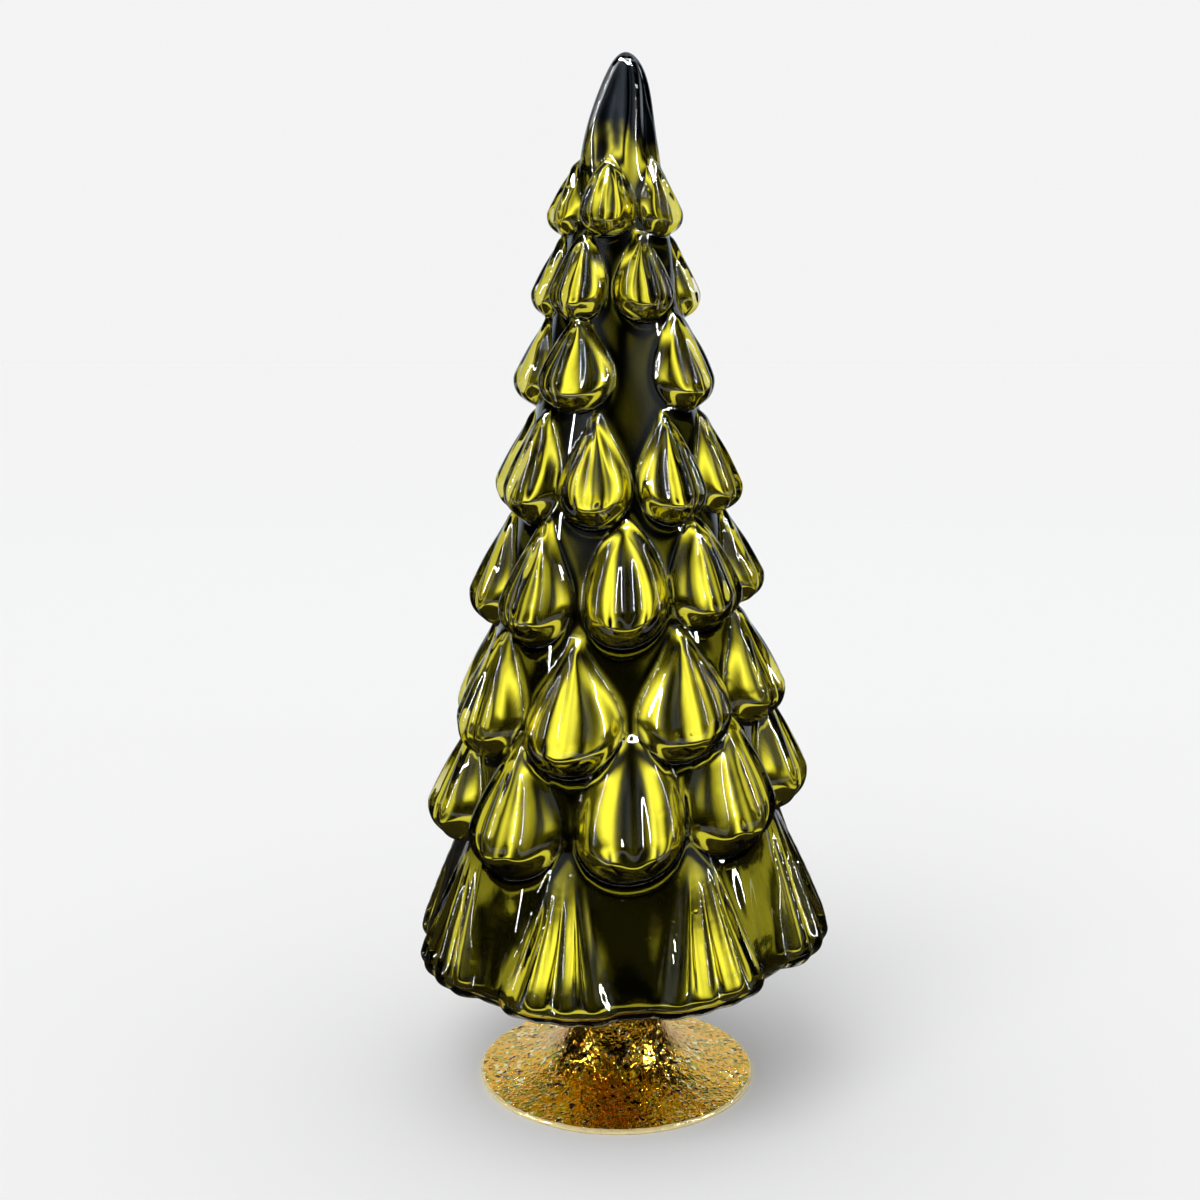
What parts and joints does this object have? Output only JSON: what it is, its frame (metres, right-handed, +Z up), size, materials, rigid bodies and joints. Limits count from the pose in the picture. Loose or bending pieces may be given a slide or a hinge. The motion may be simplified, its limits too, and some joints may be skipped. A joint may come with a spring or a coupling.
{
  "type": "glass christmas tree",
  "caption": "Hollow mirror-lined glass table tree with tiers of fluted boughs and a pleated skirt, cemented by its neck into a gilded trumpet foot.",
  "frame": {"origin": "centre of the foot's resting ring, on the surface that the tree stands on", "axes": "+Z up along the tree, -Y towards the front in the picture, +X to the right of the front"},
  "size_m": [0.0724, 0.0724, 0.178],
  "materials": {
    "clear_glass": "clear blown glass, fire-polished, with a few small pits",
    "green_gold_mirror": "green-gold mirror coat, seen through the glass",
    "cork": "pressed cork",
    "cement": "set cement, matt and slightly grainy",
    "gold_leaf": "crumpled gold leaf with dark brown and pale flecks"
  },
  "bodies": {
    "root": {"glass_tree": "clear_glass", "mirror_lining": "green_gold_mirror", "neck_plug": "cork", "cement_bead": "cement", "gilded_foot": "gold_leaf"}
  },
  "joints": []
}
